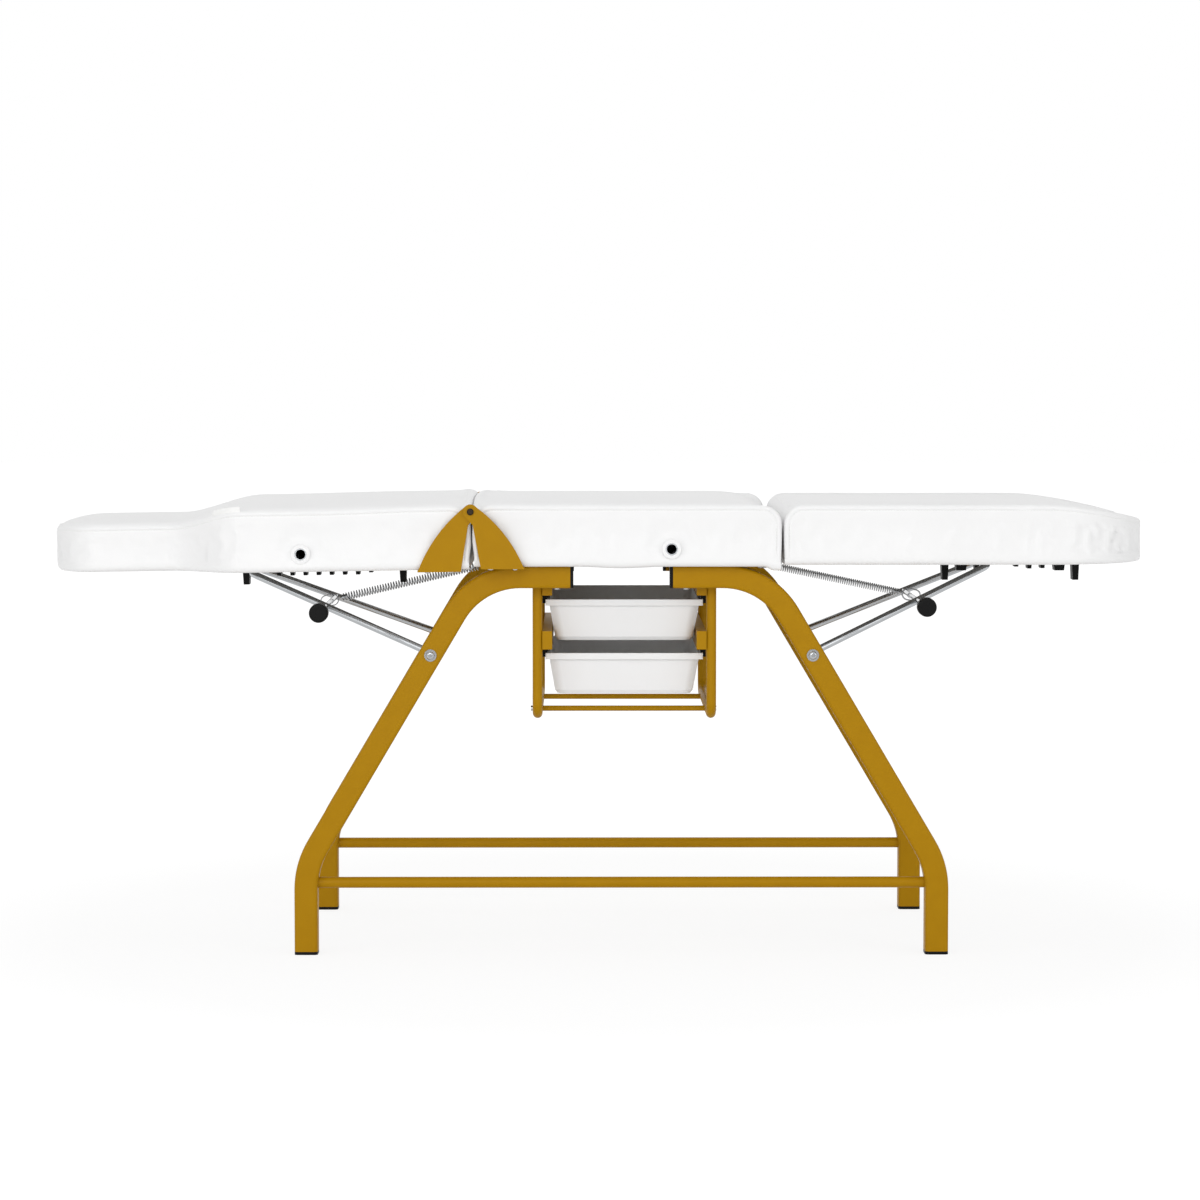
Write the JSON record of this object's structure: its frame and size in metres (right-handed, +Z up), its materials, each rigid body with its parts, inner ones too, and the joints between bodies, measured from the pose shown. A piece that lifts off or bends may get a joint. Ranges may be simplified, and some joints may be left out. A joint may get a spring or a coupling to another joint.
{
  "type": "beauty chair",
  "caption": "Salon and tattoo bed chair with white padded backrest, seat and legrest on a gold tube frame, chrome tilt struts on peg racks and a hanger with white trays",
  "frame": {"origin": "on the floor under the middle of the whole chair's box", "axes": "+X runs from the head end to the foot end, +Z is up, -Y is the side of the release knobs"},
  "size_m": [1.8184, 0.626, 0.7449],
  "materials": {
    "gold_paint": "gold metallic powder coat, satin gloss",
    "white_vinyl": "smooth white upholstery vinyl",
    "white_plastic": "moulded white plastic, satin gloss",
    "black_plastic": "moulded black plastic",
    "chrome": "bright chrome plate",
    "zinc_steel": "zinc plate",
    "plywood": "plywood sealed with a grey paint",
    "foam": "polyurethane foam, hidden"
  },
  "bodies": {
    "frame": {"head_leg_near": "gold_paint", "head_leg_far": "gold_paint", "foot_leg_near": "gold_paint", "foot_leg_far": "gold_paint", "stretcher_rods": "gold_paint", "head_cross_tube": "gold_paint", "foot_cross_tube": "gold_paint", "seat_cross_bars": "gold_paint", "foot_caps": "black_plastic", "tube_end_caps": "black_plastic", "strut_pivot_bolts": "chrome", "strut_pivot_nuts": "zinc_steel", "seat_board": "plywood", "seat_foam": "foam", "seat_cover": "white_vinyl", "seat_arm_sockets": "zinc_steel", "seat_socket_rosettes": "white_plastic", "seat_hinge_plates": "gold_paint", "seat_hinge_screws": "chrome", "seat_fixing_bolts": "zinc_steel", "back_hinge_bolts": "chrome", "hanger_loops": "gold_paint", "hanger_rods": "gold_paint", "hanger_rod_screws": "chrome", "tray_rails": "gold_paint", "tray_guides": "black_plastic", "seat_hinge_leaves": "zinc_steel", "leg_hinge_pins": "zinc_steel", "seat_leaf_screws": "chrome", "back_spring_anchor": "zinc_steel", "leg_spring_anchor": "zinc_steel"},
    "backrest": {"back_board": "plywood", "back_foam": "foam", "back_cover": "white_vinyl", "back_arm_sockets": "zinc_steel", "back_socket_rosettes": "white_plastic", "back_hinge_plates": "gold_paint", "back_hinge_screws": "chrome", "back_rack": "black_plastic", "back_rack_screws": "zinc_steel"},
    "legrest": {"leg_board": "plywood", "leg_foam": "foam", "leg_cover": "white_vinyl", "leg_hinge_leaves": "zinc_steel", "leg_leaf_screws": "chrome", "leg_rack": "black_plastic", "leg_rack_screws": "zinc_steel"},
    "back_strut_body": {"back_strut": "chrome", "back_release_rod": "chrome", "back_release_knob": "black_plastic"},
    "leg_strut_body": {"leg_strut": "chrome", "leg_release_rod": "chrome", "leg_release_knob": "black_plastic"},
    "back_spring_body": {"back_spring": "zinc_steel"},
    "back_hook_body": {"back_spring_hook": "zinc_steel"},
    "leg_spring_body": {"leg_spring": "zinc_steel"},
    "leg_hook_body": {"leg_spring_hook": "zinc_steel"},
    "upper_tray_body": {"upper_tray": "white_plastic"},
    "lower_tray_body": {"lower_tray": "white_plastic"}
  },
  "joints": [
    {"name": "backrest_tilt", "type": "hinge", "parent": "frame", "child": "backrest", "pos_m": [-0.2045, 0, 0.726], "axis": [0, 1, 0], "range_deg": [0, 60]},
    {"name": "legrest_tilt", "type": "hinge", "parent": "frame", "child": "legrest", "pos_m": [0.3005, 0, 0.6305], "axis": [0, 1, 0], "range_deg": [0, 45]},
    {"name": "back_strut_turn", "type": "hinge", "parent": "frame", "child": "back_strut_body", "pos_m": [-0.27106, 0, 0.491], "axis": [0, 1, 0], "range_deg": [0, 49.3]},
    {"name": "leg_strut_turn", "type": "hinge", "parent": "frame", "child": "leg_strut_body", "pos_m": [0.35106, 0, 0.491], "axis": [0, 1, 0], "range_deg": [0, 61.3]},
    {"name": "back_spring_swing", "type": "hinge", "parent": "frame", "child": "back_spring_body", "pos_m": [-0.1845, 0.04, 0.624], "axis": [0, 1, 0], "range_deg": [0, 31.4]},
    {"name": "back_spring_stretch", "type": "slide", "parent": "back_spring_body", "child": "back_hook_body", "axis": [-0.974, 0, -0.2264], "range_m": [-0.1155, 0], "deforming": ["back_spring"]},
    {"name": "leg_spring_swing", "type": "hinge", "parent": "frame", "child": "leg_spring_body", "pos_m": [0.2835, 0.04, 0.624], "axis": [0, 1, 0], "range_deg": [0, 36.6]},
    {"name": "leg_spring_stretch", "type": "slide", "parent": "leg_spring_body", "child": "leg_hook_body", "axis": [0.9786, 0, -0.2057], "range_m": [0, 0.085], "deforming": ["leg_spring"]},
    {"name": "upper_tray_slide", "type": "slide", "parent": "frame", "child": "upper_tray_body", "axis": [0, -1, 0], "range_m": [0, 0.2]},
    {"name": "lower_tray_slide", "type": "slide", "parent": "frame", "child": "lower_tray_body", "axis": [0, -1, 0], "range_m": [0, 0.2]}
  ],
  "couplings": [
    {"joint": "back_strut_turn", "follows": "backrest_tilt", "ratio": 0.82},
    {"joint": "back_spring_swing", "follows": "backrest_tilt", "ratio": 0.5204},
    {"joint": "back_spring_stretch", "follows": "backrest_tilt", "m_per_rad": -0.11002},
    {"joint": "leg_strut_turn", "follows": "legrest_tilt", "ratio": 1.36},
    {"joint": "leg_spring_swing", "follows": "legrest_tilt", "ratio": 0.8101},
    {"joint": "leg_spring_stretch", "follows": "legrest_tilt", "m_per_rad": 0.10775}
  ]
}
